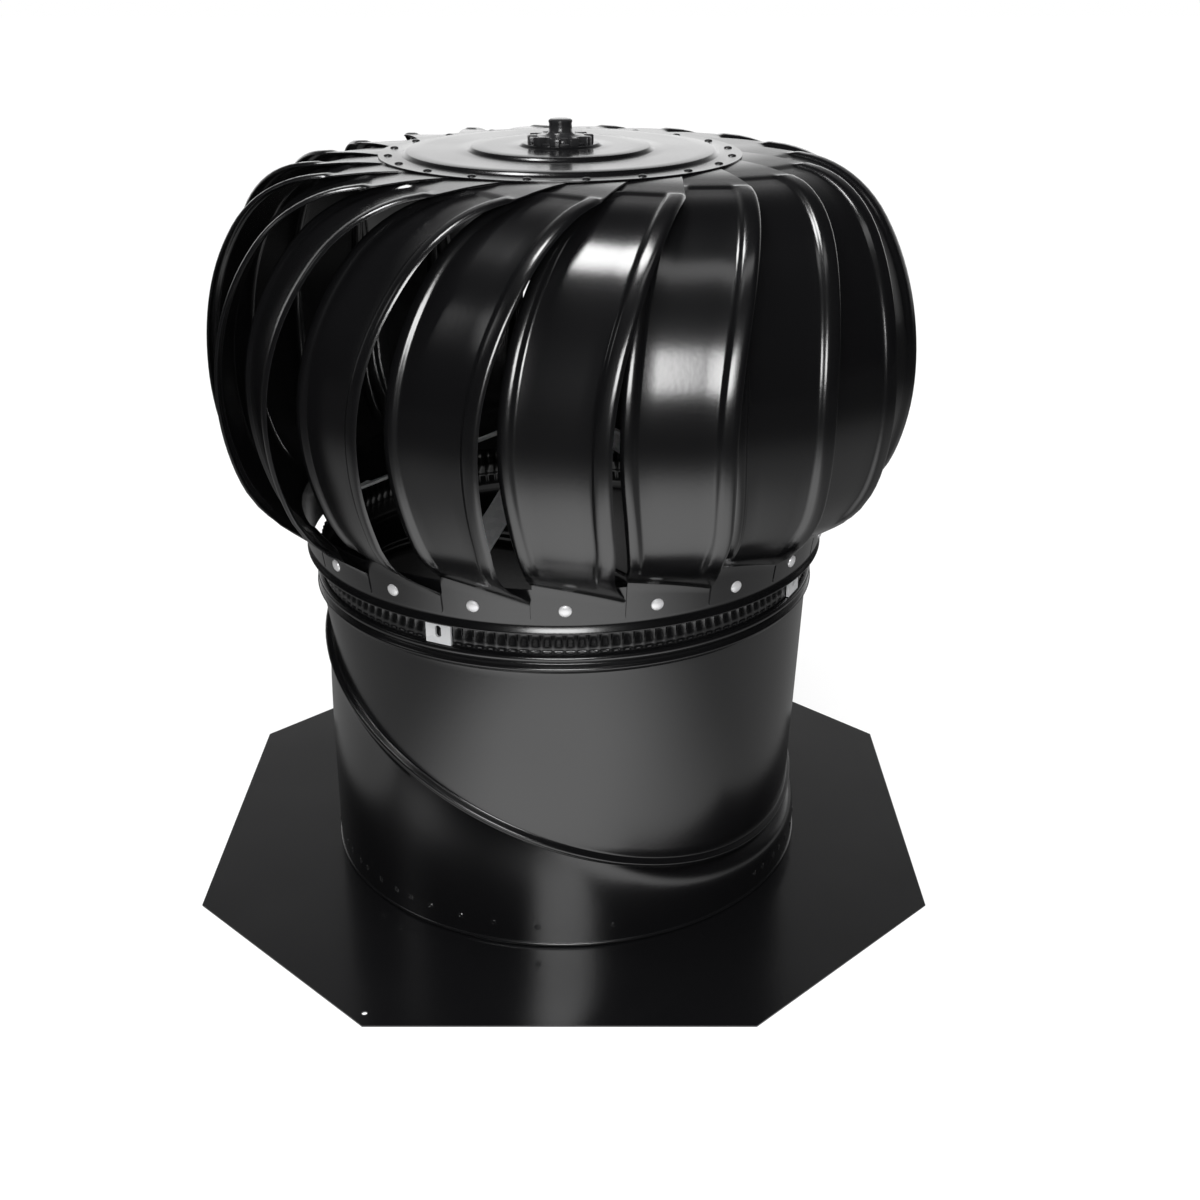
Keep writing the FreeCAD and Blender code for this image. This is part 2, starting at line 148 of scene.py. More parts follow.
def startMaterial(name, values):
    material = bpy.data.materials.new(name)
    material.use_nodes = True
    tree = material.node_tree
    surface = tree.nodes["Principled BSDF"]
    setInputs(surface, values)
    return material, tree, surface


def addGroup(tree, group, place, values):
    node = addNode(tree, "ShaderNodeGroup", place, node_tree=group)
    setInputs(node, values)
    return node


def mixInto(tree, place, mask, low, high, socket, kind="RGBA"):
    # Sends a value between low and high to a socket by a mask
    mixer = addNode(tree, "ShaderNodeMix", place, data_type=kind)
    start, end, result = (6, 7, 2) if kind == "RGBA" else (2, 3, 0)
    mixer.inputs[start].default_value = low
    mixer.inputs[end].default_value = high
    tree.links.new(mask, mixer.inputs["Factor"])
    tree.links.new(mixer.outputs[result], socket)


def makePaint(name, gloss):
    paint = {"black": (0.004, 0.004, 0.0044, 1), "edgeLit": (0.03, 0.03, 0.032, 1), "dulling": 0.05}
    material, tree, surface = startMaterial(name, {"Specular IOR Level": 1.0})
    grain = addGroup(tree, paintGrain, (-500, -200), {"Peel": 0.05, "Waviness": 0.12})
    edgeLight = addGroup(tree, edgeHighlight, (-500, 150), {"Width": 0.0006})
    # The corner mask lifts the black to a lighter grey on the edges: a painted highlight where rims catch the
    # light
    mixInto(tree, (-250, 200), edgeLight.outputs["Mask"], paint["black"], paint["edgeLit"],
            surface.inputs["Base Color"])
    mixInto(tree, (-250, -50), grain.outputs["Cloud"], gloss, gloss + paint["dulling"],
            surface.inputs["Roughness"], "FLOAT")
    tree.links.new(grain.outputs["Normal"], surface.inputs["Normal"])
    return material


def makeGalvanised():
    # Zinc spangle in two close greys
    zinc = {
        "dark": (0.78, 0.79, 0.8, 1),
        "light": (0.9, 0.9, 0.91, 1),
        "smooth": 0.38,
        "rough": 0.52,
        "spangle": 260.0,
    }
    material, tree, surface = startMaterial("galvanised", {"Metallic": 0.45})
    coords = addNode(tree, "ShaderNodeTexCoord", (-900, 0))
    spangle = addNode(tree, "ShaderNodeTexVoronoi", (-700, 0))
    setInputs(spangle, {"Scale": zinc["spangle"]})
    tree.links.new(coords.outputs["Object"], spangle.inputs["Vector"])
    grey = addNode(tree, "ShaderNodeSeparateColor", (-500, 0))
    tree.links.new(spangle.outputs["Color"], grey.inputs["Color"])
    mixInto(tree, (-250, 150), grey.outputs["Red"], zinc["dark"], zinc["light"], surface.inputs["Base Color"])
    mixInto(tree, (-250, -100), grey.outputs["Green"], zinc["smooth"], zinc["rough"],
            surface.inputs["Roughness"], "FLOAT")
    return material


def makeBrightMetal(name, grey, gloss, metallic=1.0, threaded=False):
    # Turned or plated metal; the threaded one carries fine level grooves
    values = {"Metallic": metallic, "Base Color": (grey, grey, grey * 1.01, 1)}
    material, tree, surface = startMaterial(name, values)
    smear = addNoise(tree, (-600, 0), 150.0, 3.0)
    mixInto(tree, (-250, 0), smear.outputs["Fac"], gloss, gloss + 0.12, surface.inputs["Roughness"], "FLOAT")
    if threaded:
        coords = addNode(tree, "ShaderNodeTexCoord", (-900, -300))
        groove = addNode(tree, "ShaderNodeTexWave", (-600, -300), bands_direction="Z")
        setInputs(groove, {"Scale": 210.0})
        bump = addNode(tree, "ShaderNodeBump", (-250, -300))
        setInputs(bump, {"Strength": 0.8, "Distance": 0.0005})
        tree.links.new(coords.outputs["Object"], groove.inputs["Vector"])
        tree.links.new(groove.outputs["Fac"], bump.inputs["Height"])
        tree.links.new(bump.outputs["Normal"], surface.inputs["Normal"])
    return material


def makePlastic():
    material, tree, surface = startMaterial("blackPlastic", {"Base Color": (0.018, 0.018, 0.019, 1)})
    texture = addNoise(tree, (-600, 0), 900.0, 2.0)
    mixInto(tree, (-250, 0), texture.outputs["Fac"], 0.14, 0.26, surface.inputs["Roughness"], "FLOAT")
    bump = addNode(tree, "ShaderNodeBump", (-250, -300))
    setInputs(bump, {"Strength": 0.15, "Distance": 0.0002})
    tree.links.new(texture.outputs["Fac"], bump.inputs["Height"])
    tree.links.new(bump.outputs["Normal"], surface.inputs["Normal"])
    return material


sheetPaint = makePaint("sheetPaint", 0.19)
platePaint = makePaint("platePaint", 0.16)
galvanised = makeGalvanised()
brightRivet = makeBrightMetal("brightRivet", 0.9, 0.3, metallic=0.45)
brightSteel = makeBrightMetal("brightSteel", 0.62, 0.25)
threadedSteel = makeBrightMetal("threadedSteel", 0.6, 0.28, threaded=True)
bearingSteel = makeBrightMetal("bearingSteel", 0.66, 0.14)
blackPlastic = makePlastic()
print("materials made")


# Mesh helpers

def smooth(share):
    share = min(1.0, max(0.0, share))
    return share * share * (3 - 2 * share)


def sheetFromRows(rows, columns, closed=True):
    # A grid whose rows are laid out by functions of a share from 0 to 1 along each row
    bm = bmesh.new()
    bmesh.ops.create_grid(bm, x_segments=columns, y_segments=len(rows) - 1, size=0.5)
    for vert in bm.verts:
        share = round((vert.co.x + 0.5) * columns) / columns
        row = round((vert.co.y + 0.5) * (len(rows) - 1))
        vert.co = rows[row](share)
    if closed:
        bmesh.ops.remove_doubles(bm, verts=bm.verts, dist=0.001)
    return bm


def spunProfile(points, sides):
    # Revolves (radius, height) points about the vertical axis
    bm = bmesh.new()
    chain = [bm.verts.new((radius, 0, height)) for radius, height in points]
    edges = [bm.edges.new(pair) for pair in zip(chain, chain[1:])]
    bmesh.ops.spin(bm, geom=chain + edges, cent=(0, 0, 0), axis=(0, 0, 1), angle=2 * pi,
                   steps=sides, use_merge=True)
    bmesh.ops.remove_doubles(bm, verts=bm.verts, dist=0.001)
    bmesh.ops.recalc_face_normals(bm, faces=bm.faces)
    return bm


def turnAll(bm, angle, axis):
    bmesh.ops.rotate(bm, verts=bm.verts, cent=(0, 0, 0), matrix=Matrix.Rotation(radians(angle), 3, axis))


def repeatAt(bm, turns):
    # Copies what is in the mesh to each angle round the vertical axis and leaves none at the start
    first = bm.verts[:]
    source = first + bm.edges[:] + bm.faces[:]
    for turn in turns:
        made = bmesh.ops.duplicate(bm, geom=source)
        verts = [item for item in made["geom"] if isinstance(item, bmesh.types.BMVert)]
        bmesh.ops.rotate(bm, verts=verts, cent=(0, 0, 0), matrix=Matrix.Rotation(radians(turn), 3, "Z"))
    bmesh.ops.delete(bm, geom=first, context="VERTS")


def repeatRound(bm, count, first):
    repeatAt(bm, [first + 360 * i / count for i in range(count)])


sharpAngle = 40.0


def shadeSmooth(bm):
    for face in bm.faces:
        face.smooth = True
    for edge in bm.edges:
        edge.smooth = edge.calc_face_angle(0.0) < radians(sharpAngle)


def addBevel(piece, width):
    bevel = piece.modifiers.new("roundedEdges", "BEVEL")
    bevel.width = width * mm
    bevel.segments = 2
    bevel.limit_method = "ANGLE"
    bevel.angle_limit = radians(sharpAngle)
    bevel.harden_normals = True


def addPiece(name, bm, body, material, nodes, thick=0.0, edge=0.0):
    bmesh.ops.scale(bm, vec=(mm, mm, mm), verts=bm.verts)
    shadeSmooth(bm)
    mesh = bpy.data.meshes.new(name)
    bm.to_mesh(mesh)
    bm.free()
    mesh.materials.append(material)
    piece = bpy.data.objects.new(name, mesh)
    bpy.context.scene.collection.objects.link(piece)
    if thick:
        shell = piece.modifiers.new("sheetGauge", "SOLIDIFY")
        shell.thickness = thick * mm
        shell.offset = -1
        shell.use_even_offset = True
    if edge:
        addBevel(piece, edge)
    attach(piece, body)
    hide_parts(*nodes)


def dressNode(name, material, edge):
    # Paints a CAD node that is shown as it is and rounds its edges
    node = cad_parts[name]
    node.data.materials.clear()
    node.data.materials.append(material)
    addBevel(node, edge)


# Rows for the collars

seamFrame = (
    Matrix.Translation((0, 0, seamHeight))
    @ Matrix.Rotation(radians(seamTurn), 4, "Z")
    @ Matrix.Rotation(radians(seamTilt), 4, "Y")
)
ductTurn = Matrix.Rotation(radians(seamTurn), 3, "Z")


def pipeRow(radius, height):
    def place(share):
        angle = 2 * pi * share
        return ductTurn @ Vector((radius * cos(angle), radius * sin(angle), height))
    return place


def seamRow(radius, height, ripple=0.0):
    def place(share):
        angle = 2 * pi * share
        loose = radius + ripple * noise(Vector((9 * cos(angle), 9 * sin(angle), height)))
        return seamFrame @ Vector((loose * cos(angle), loose * sin(angle), height))
    return place


def rowsBetween(first, second, shares, ease=1.0):
    # With an ease above 1 the wall stays on the first row's plan and turns to the second's late
    def row(part):
        def place(share):
            start, end = first(share), second(share)
            plan = start.lerp(end, part ** ease)
            return Vector((plan.x, plan.y, start.z + (end.z - start.z) * part))
        return place
    return [row(part) for part in shares]


collarSides = 144


def addLowerCollar():
    # Beaded foot, a wall that turns in late to the oblique seam, and the flange that runs in the hem
    foot = {"low": 0.8, "high": 3.4, "out": 0.9, "bend": 17.0, "late": 3.4}
    seam = {"wall": 159.0, "beadLow": -6.4, "beadHigh": -2.9, "beadOut": 1.4, "flange": 162.0}
    rows = []
    for i in range(7):
        share = i / 6
        height = foot["low"] + (foot["high"] - foot["low"]) * share
        rows.append(pipeRow(ductRadius + foot["out"] * sin(pi * share) ** 0.7, height))
    bend = pipeRow(ductRadius, foot["bend"])
    drawn = seamRow(seam["wall"] - 1.0, seam["beadLow"])
    rows += rowsBetween(pipeRow(ductRadius, foot["high"]), bend, (0.05, 0.5, 0.95))
    rows += rowsBetween(bend, drawn, (0.05, 0.25, 0.45, 0.6, 0.7, 0.78, 0.85, 0.91, 0.96, 1.0), foot["late"])
    for i in range(1, 9):
        share = i / 8
        height = seam["beadLow"] + 0.3 + (seam["beadHigh"] - seam["beadLow"] - 0.3) * share
        radius = seam["wall"] - 0.8 + 0.8 * share + seam["beadOut"] * sin(pi * share) ** 0.7
        rows.append(seamRow(radius, height))
    flange = ((seam["wall"] - 0.2, -1.5), (seam["wall"] + 0.3, -0.85), (seam["flange"], -0.8))
    rows += [seamRow(radius, height) for radius, height in flange]
    addPiece("lowerCollar", sheetFromRows(rows, collarSides), "base", sheetPaint,
             ["lower_collar"], thick=sheet, edge=0.15)


def addUpperCollar():
    # Hem round the seam's flange, the wall up to level, a pressed bead and a hemmed rim
    hem = {
        "wall": 158.6,
        "out": 163.0,
        "lip": 160.8,
        "bottom": -1.9,
        "top": 1.1,
        "round": 1.1,
        "ripple": 0.12,
    }
    bead = {"bend": 182.0, "base": 183.5, "height": 6.0}
    rim = {"base": 190.8, "top": 194.5, "out": 2.4}
    rows = [seamRow(hem["lip"], hem["bottom"])]
    middle = (hem["bottom"] + hem["top"]) / 2
    for i in range(7):
        angle = pi * (i / 6 - 0.5)
        radius = hem["out"] - hem["round"] * (1 - cos(angle))
        rows.append(seamRow(radius, middle + (hem["top"] - middle) * sin(angle), hem["ripple"]))
    for out, up in ((1.6, 0.05), (0.5, 0.5), (0.1, 1.2)):
        rows.append(seamRow(hem["wall"] + out, hem["top"] + up))
    drawn = seamRow(hem["wall"], hem["top"] + 2.4)
    bend = pipeRow(ductRadius, bead["bend"])
    rows += rowsBetween(drawn, bend, (0.0, 0.04, 0.12, 0.3, 0.5, 0.7, 0.88, 0.97))
    rows += rowsBetween(bend, pipeRow(ductRadius, bead["base"]), (0.04, 0.25, 0.5, 0.75, 1.0))
    section = [(0.15, 0.5), (0.4, 0.95), (0.8, 1.15), (1.3, 1.3), (1.9, 2.0), (2.5, 2.65), (3.1, 2.9)]
    section += [(3.8, 2.7), (4.5, 2.0), (5.1, 1.0), (5.6, 0.25), (bead["height"], 0.0)]
    rows += [pipeRow(ductRadius + out, bead["base"] + up) for up, out in section]
    rows.append(pipeRow(ductRadius, rim["base"]))
    middle = (rim["base"] + rim["top"]) / 2
    for i in range(1, 8):
        angle = pi * i / 8
        radius = ductRadius + rim["out"] * sin(angle) ** 0.6
        rows.append(pipeRow(radius, middle - (rim["top"] - middle) * cos(angle)))
    rows.append(pipeRow(ductRadius - 0.3, rim["top"]))
    addPiece("upperCollar", sheetFromRows(rows, collarSides), "upper_duct", sheetPaint,
             ["upper_collar"], thick=sheet, edge=0.15)


def addClinchMarks():
    # Round pressed marks that hold the collar's foot to the plate's neck, at uneven angles from the front
    marks = {"radius": 1.9, "height": 14.2}
    turns = [-67.1, -63.2, -57.8, -54.2, -48.2, -42.4, -37.7, -31.8, -23.7, -15.7, -5.4, 11.6, 51.5, 55.1]
    turns += [60.8, 64.4, 69.7, 76, 83, 91, 98, 107, 121, 133, 147, 158, 166, 174, 185, 196, 208, 217, 228]
    turns += [236, 247, 256, 264, 281]
    points = [(0.0, 0.05), (0.7, 0.1), (1.05, 0.5), (1.45, 0.46), (marks["radius"], 0.0)]
    bm = spunProfile(points, 12)
    turnAll(bm, 90, "Y")
    bmesh.ops.translate(bm, vec=(ductRadius - 0.02, 0, marks["height"]), verts=bm.verts)
    repeatAt(bm, [turn - 90 for turn in turns])
    addPiece("clinchMarks", bm, "base", sheetPaint, ["lower_collar"])


def addThroat():
    # Crimps with narrow ridges; each valley starts at a step and then leans inwards
    throat = {"radius": 152.0, "bottom": 184.0, "top": 214.0, "foot": 196.2, "flutes": 150, "narrow": 4}
    rise = (0.0, 0.4, 2.4, 8.0, 10.0, 13.5)
    depth = (0.0, 0.35, 0.4, 2.0, 2.0, 1.0)

    def crimpedRow(height):
        def place(share):
            angle = 2 * pi * share
            valley = 1 - (0.5 + 0.5 * cos(throat["flutes"] * angle)) ** throat["narrow"]
            radius = throat["radius"] - interp(height - throat["foot"], rise, depth) * valley
            return Vector((radius * cos(angle), radius * sin(angle), height))
        return place

    steps = (0.0, 0.2, 0.4, 1.4, 2.4, 3.1, 4.6, 6.2, 8.0, 10.0, 13.5)
    heights = [throat["bottom"], 190.0] + [throat["foot"] + step for step in steps] + [throat["top"]]
    bm = sheetFromRows([crimpedRow(height) for height in heights], throat["flutes"] * 8)
    addPiece("crimpedThroat", bm, "upper_duct", sheetPaint, ["crimped_throat"], thick=sheet)


# The turning head

def addCap():
    # Disc with rounded steps up to the boss
    cap = {"radius": 104.1, "hole": 16.2, "top": capUnder + sheet, "run": 3.2}
    steps = ((89.7, 2.0), (52.6, 2.0), (23.0, 1.4))
    run = cap["run"]

    def height(radius):
        return cap["top"] + sum(rise * smooth((edge + run / 2 - radius) / run) for edge, rise in steps)

    radii = [cap["radius"], cap["radius"] - 0.3, 100.0, 70.0, 38.0, cap["hole"] + 0.4, cap["hole"]]
    for edge, rise in steps:
        radii += [edge + run / 2 - run * i / 8 for i in range(9)]
        radii += [edge + 3 * run, edge - 3 * run]
    kept = sorted(set(radius for radius in radii if radius >= cap["hole"]), reverse=True)
    bm = spunProfile([(radius, height(radius)) for radius in kept], 128)
    if bm.faces[:][0].normal.z < 0:
        bmesh.ops.reverse_faces(bm, faces=bm.faces)
    addPiece("capPlate", bm, "turbine_head", platePaint, ["cap_plate"], thick=sheet, edge=0.2)


def addHub():
    # Boss with a castellated flange and a stub, and the stem that holds the bearings below the cap;
    # each profile is (radius, height), from the top down the outside and up the bore
    hub = {
        "stub": [(0.0, 460.0), (5.9, 460.0), (6.7, 459.5), (6.8, 458.4), (6.5, 457.6), (6.7, 453.4)],
        "crown": [(7.4, 452.2), (9.0, 451.4), (13.6, 451.2), (14.2, 450.4), (14.4, 448.4)],
        "flange": [(17.0, 448.2), (17.3, 447.7), (17.1, 446.6), (16.0, 446.4)],
        "stem": [(16.0, 388.1), (15.4, 387.4), (13.3, 387.4), (13.1, 387.9)],
        "bore": [(13.1, 449.6), (5.8, 449.8), (5.8, 457.0), (0.0, 457.0)],
    }
    tooth = {
        "count": 10,
        "first": 9.0,
        "root": 13.2,
        "tip": 18.9,
        "rootWidth": 6.4,
        "tipWidth": 5.4,
        "low": 446.6,
        "high": 451.4,
    }
    bm = spunProfile(hub["stub"] + hub["crown"] + hub["flange"] + hub["stem"] + hub["bore"], 64)
    teeth = bmesh.new()
    bmesh.ops.create_cube(teeth, size=1.0)
    for vert in teeth.verts:
        end = "tip" if vert.co.x > 0 else "root"
        height = tooth["low"] if vert.co.z < 0 else tooth["high"]
        vert.co = Vector((tooth[end], vert.co.y * tooth[end + "Width"], height))
    bmesh.ops.bevel(teeth, geom=teeth.edges, offset=0.7, segments=2, profile=0.5, affect="EDGES", material=-1)
    repeatRound(teeth, tooth["count"], tooth["first"])
    shape = bpy.data.meshes.new("hubTeeth")
    teeth.to_mesh(shape)
    teeth.free()
    bm.from_mesh(shape)
    bpy.data.meshes.remove(shape)
    addPiece("hub", bm, "turbine_head", blackPlastic, ["bearing_housing"])


ring = {"bottom": 210.0, "top": 238.0, "foot": 158.5, "flare": 8.4}


def ringRadius(height):
    return ring["foot"] + (height - ring["bottom"]) * tan(radians(ring["flare"]))


def addLowerRing():
    # Flared band; its lower edge leans out below a shallow groove and ends in a small hem
    hem = {"radius": 0.8, "centre": 159.75}
    lip = [(160.2, 211.9), (159.77, 212.8), (159.4, 213.7), (159.12, 214.5)]
    groove = [(158.96, 215.1), (158.94, 215.7), (159.05, 216.3), (159.3, 217.0)]
    points = [(ringRadius(ring["bottom"]) - sheet, ring["bottom"] + 1.2)]
    for i in range(13):
        angle = radians(190 + 190 * i / 12)
        out = hem["centre"] + hem["radius"] * cos(angle)
        points.append((out, ring["bottom"] + hem["radius"] * (1 + sin(angle))))
    points += lip + groove
    points += [(ringRadius(height), height) for height in (218.2, 222.0, 230.0, ring["top"])]
    points += [(ringRadius(height) - sheet, height) for height in (ring["top"], 224.0, 213.0)]
    bm = spunProfile(points + points[:1], 160)
    addPiece("lowerRing", bm, "turbine_head", sheetPaint, ["lower_ring"])


def domeProfile(radius, height, rows):
    # Low round head of a rivet, from its rim to its crown
    points = [(radius, 0.0)]
    for i in range(1, rows + 1):
        angle = pi / 2 * i / rows
        points.append((radius * cos(angle), height * (0.15 + 0.85 * sin(angle))))
    return points


def addRingRivets():
    rivet = {"radius": 3.7, "height": 1.6, "level": 225.3, "first": 1.4}
    bm = spunProfile(domeProfile(rivet["radius"], rivet["height"], 4), 16)
    turnAll(bm, 90 + ring["flare"], "Y")
    bmesh.ops.translate(bm, vec=(ringRadius(rivet["level"]) + sheet, 0, rivet["level"]), verts=bm.verts)
    repeatRound(bm, bladeCount, rivet["first"] - 90)
    addPiece("ringRivets", bm, "turbine_head", brightRivet, ["ring_rivets"])


def addCapRivets():
    rivet = {"radius": 2.5, "height": 1.0, "circle": 98.5, "first": -8.9}
    bm = spunProfile(domeProfile(rivet["radius"], rivet["height"], 3), 12)
    bmesh.ops.translate(bm, vec=(rivet["circle"], 0, capUnder + sheet), verts=bm.verts)
    repeatRound(bm, bladeCount, rivet["first"] - 90)
    addPiece("capRivets", bm, "turbine_head", sheetPaint, ["cap_rivets"])


# One blade in its bending plane: u outwards, w across the strip, the free edge at the larger w
blade = {
    "turn": 15.07,  # of the first one round the shaft
    "root": 53.5,
    # Lengths along the sheet, each with the bend over it
    "runs": ((12.5, 0), (24.0, 6), (20.6, 0), (62.6, 46), (146.6, 60), (38.0, 34), (70.0, 0)),
    # Each edge above the widest place: reaches, then distances across at them
    "innerPlan": ((53.5, 73.1, 83.9, 193.4), (73.6, 54.3, 62.3, 22.5)),
    "freePlan": ((53.5, 61.4, 108.0), (73.6, 84.5, 97.0)),
    "shoulder": 108.0,
    "widest": 193.4,
    "innerWidest": 22.5,
    "freeWidest": 81.5,
    "lateness": 2.8,
    # Each edge below it: how far it is drawn in, from which height, over what drop
    "innerDraw": (5.5, 325.0, 80.0),
    "freeDraw": (5.0, 278.0, 38.0),
    # The fold to the tab lies between these lengths
    "foldFrom": 270.0,
    "foldTo": 370.0,
}
# The raised margins along both edges
margin = {
    "proud": 2.3,
    "start": 47.0,
    "end": 292.0,
    "ease": 6.0,
    "outer": 12.2,
    "inner": 9.6,
    "fullWidth": 36.0,
}
tab = {"foot": 217.5, "corner": 1.8, "stand": 0.1, "width": 0.955}


def pointOnBlade(length):
    # Place and heading of the outer face, a length along the bent sheet from its root
    u, z, heading = blade["root"], capUnder, 0.0
    for run, turn in blade["runs"]:
        step = min(max(length, 0.0), run)
        if turn:
            radius = run / radians(turn)
            after = heading + radians(turn) * step / run
            u += radius * (sin(after) - sin(heading))
            z += radius * (cos(after) - cos(heading))
            heading = after
        else:
            u += step * cos(heading)
            z -= step * sin(heading)
        length -= run
    return u, z, heading


def drawnIn(z, amount, height, drop):
    return amount * smooth((height - z) / drop)


def bladeEdges(u, z, heading):
    # The inner and the free edge, as distances across the strip
    if heading >= pi / 2:
        inner = blade["innerWidest"] + drawnIn(z, *blade["innerDraw"])
        return inner, blade["freeWidest"] - drawnIn(z, *blade["freeDraw"])
    inner = interp(u, *blade["innerPlan"])
    free = interp(u, *blade["freePlan"])
    if u > blade["shoulder"]:
        past = (u - blade["shoulder"]) / (blade["widest"] - blade["shoulder"])
        free -= (free - blade["freeWidest"]) * min(1.0, past) ** blade["lateness"]
    return inner, free


def bladeColumns():
    # Distances from the free or the inner edge, or a share of the panel between the margins, each with the
    # share of the margins' height there
    outer = [(0.0, 0.2), (0.5, 0.52), (1.2, 0.8), (2.2, 0.96), (3.8, 1.0), (6.2, 1.0), (7.9, 0.94)]
    outer += [(8.9, 0.76), (9.6, 0.5), (10.3, 0.24), (11.1, 0.06), (margin["outer"], 0.0)]
    inner = [(margin["inner"], 0.0), (8.7, 0.06), (8.0, 0.24), (7.3, 0.5), (6.6, 0.76), (5.6, 0.94)]
    inner += [(4.0, 1.0), (2.4, 0.97), (1.3, 0.82), (0.5, 0.52), (0.0, 0.2)]
    columns = [("free", away, rise) for away, rise in outer]
    columns += [("panel", part, 0.0) for part in (0.2, 0.4, 0.6, 0.8)]
    return columns + [("inner", away, rise) for away, rise in inner]


def across(column, inner, free):
    # Where a column lies across the strip; the margins are drawn in where the strip is narrow
    side, away, rise = column
    tight = min(1.0, (free - inner) / margin["fullWidth"])
    if side == "free":
        return free - away * tight
    if side == "inner":
        return inner + away * tight
    start = free - margin["outer"] * tight
    end = inner + margin["inner"] * tight
    return start + (end - start) * away


def tabRadius(z):
    return ringRadius(z) + sheet + tab["stand"]


def foldLength(column):
    # Where a column of the strip meets the outer face of its own tab
    near, far = blade["foldFrom"], blade["foldTo"]
    for i in range(30):
        middle = (near + far) / 2
        u, z, heading = pointOnBlade(middle)
        if hypot(u, across(column, *bladeEdges(u, z, heading))) > tabRadius(z):
            near = middle
        else:
            far = middle
    return near


def bladeMesh():
    columns = bladeColumns()
    last = len(columns) - 1

    def pressedPoint(column, length):
        u, z, heading = pointOnBlade(length)
        w = across(column, *bladeEdges(u, z, heading))
        starting = smooth((length - margin["start"]) / margin["ease"])
        ending = smooth((margin["end"] - length) / margin["ease"])
        rise = (column[2] - 0.5) * margin["proud"] * starting * ending
        return Vector((u + rise * sin(heading), w, z + rise * cos(heading)))

    foldLengths = [foldLength(column) for column in columns]
    folds = [pressedPoint(column, length) for column, length in zip(columns, foldLengths)]
    turns = [atan2(fold.y, fold.x) for fold in folds]
    middleTurn = (turns[0] + turns[last]) / 2

    def stripRow(length):
        return lambda share: pressedPoint(columns[round(share * last)], length)

    def lowRow(part):
        def place(share):
            index = round(share * last)
            length = blade["foldFrom"] + (foldLengths[index] - blade["foldFrom"]) * part
            return pressedPoint(columns[index], length)
        return place

    def tabRow(part):
        def place(share):
            index = round(share * last)
            azimuth = middleTurn + (turns[index] - middleTurn) * tab["width"]
            foot = tab["foot"] + (tab["corner"] if index in (0, last) else 0.0)
            z = folds[index].z + (foot - folds[index].z) * part
            return Vector((tabRadius(z) * cos(azimuth), tabRadius(z) * sin(azimuth), z))
        return place

    lengths = [0.5, 4.0, 8.0, 12.5, 16.5, 20.5, 24.5, 28.5, 32.5, 36.5, 42.0, 46.0]
    lengths += [margin["start"] + margin["ease"] * i / 6 for i in range(1, 7)]
    lengths += [62.0 + 6.5 * i for i in range(32)]
    rows = [stripRow(length) for length in lengths]
    rows += [lowRow(part) for part in (0.0, 0.2, 0.35, 0.5, 0.65, 0.8, 0.9, 0.97)]
    rows += [tabRow(part) for part in (0.04, 0.3, 0.65, 1.0)]
    return sheetFromRows(rows, last, closed=False)


def addBlades():
    for i in range(bladeCount):
        bm = bladeMesh()
        turnAll(bm, 360 / bladeCount * i - blade["turn"] - 90, "Z")
        number = "%02d" % (i + 1)
        addPiece("blade" + number, bm, "turbine_head", sheetPaint, ["blade_" + number],
                 thick=sheet, edge=0.28)


addLowerCollar()
addUpperCollar()
addClinchMarks()
addThroat()
print("duct made")
addCap()
addHub()
addLowerRing()
addRingRivets()
addCapRivets()
addBlades()
print("head made")

dressNode("flashing_plate", platePaint, 0.2)
dressNode("lower_brace_strap", galvanised, 0.3)
dressNode("upper_brace_strap", galvanised, 0.3)
dressNode("shaft", threadedSteel, 0.5)
dressNode("brace_nuts", brightSteel, 0.5)
dressNode("lock_nut", brightSteel, 0.5)
dressNode("bearings", bearingSteel, 0.4)
print("CAD nodes dressed")


# Stage, light and camera

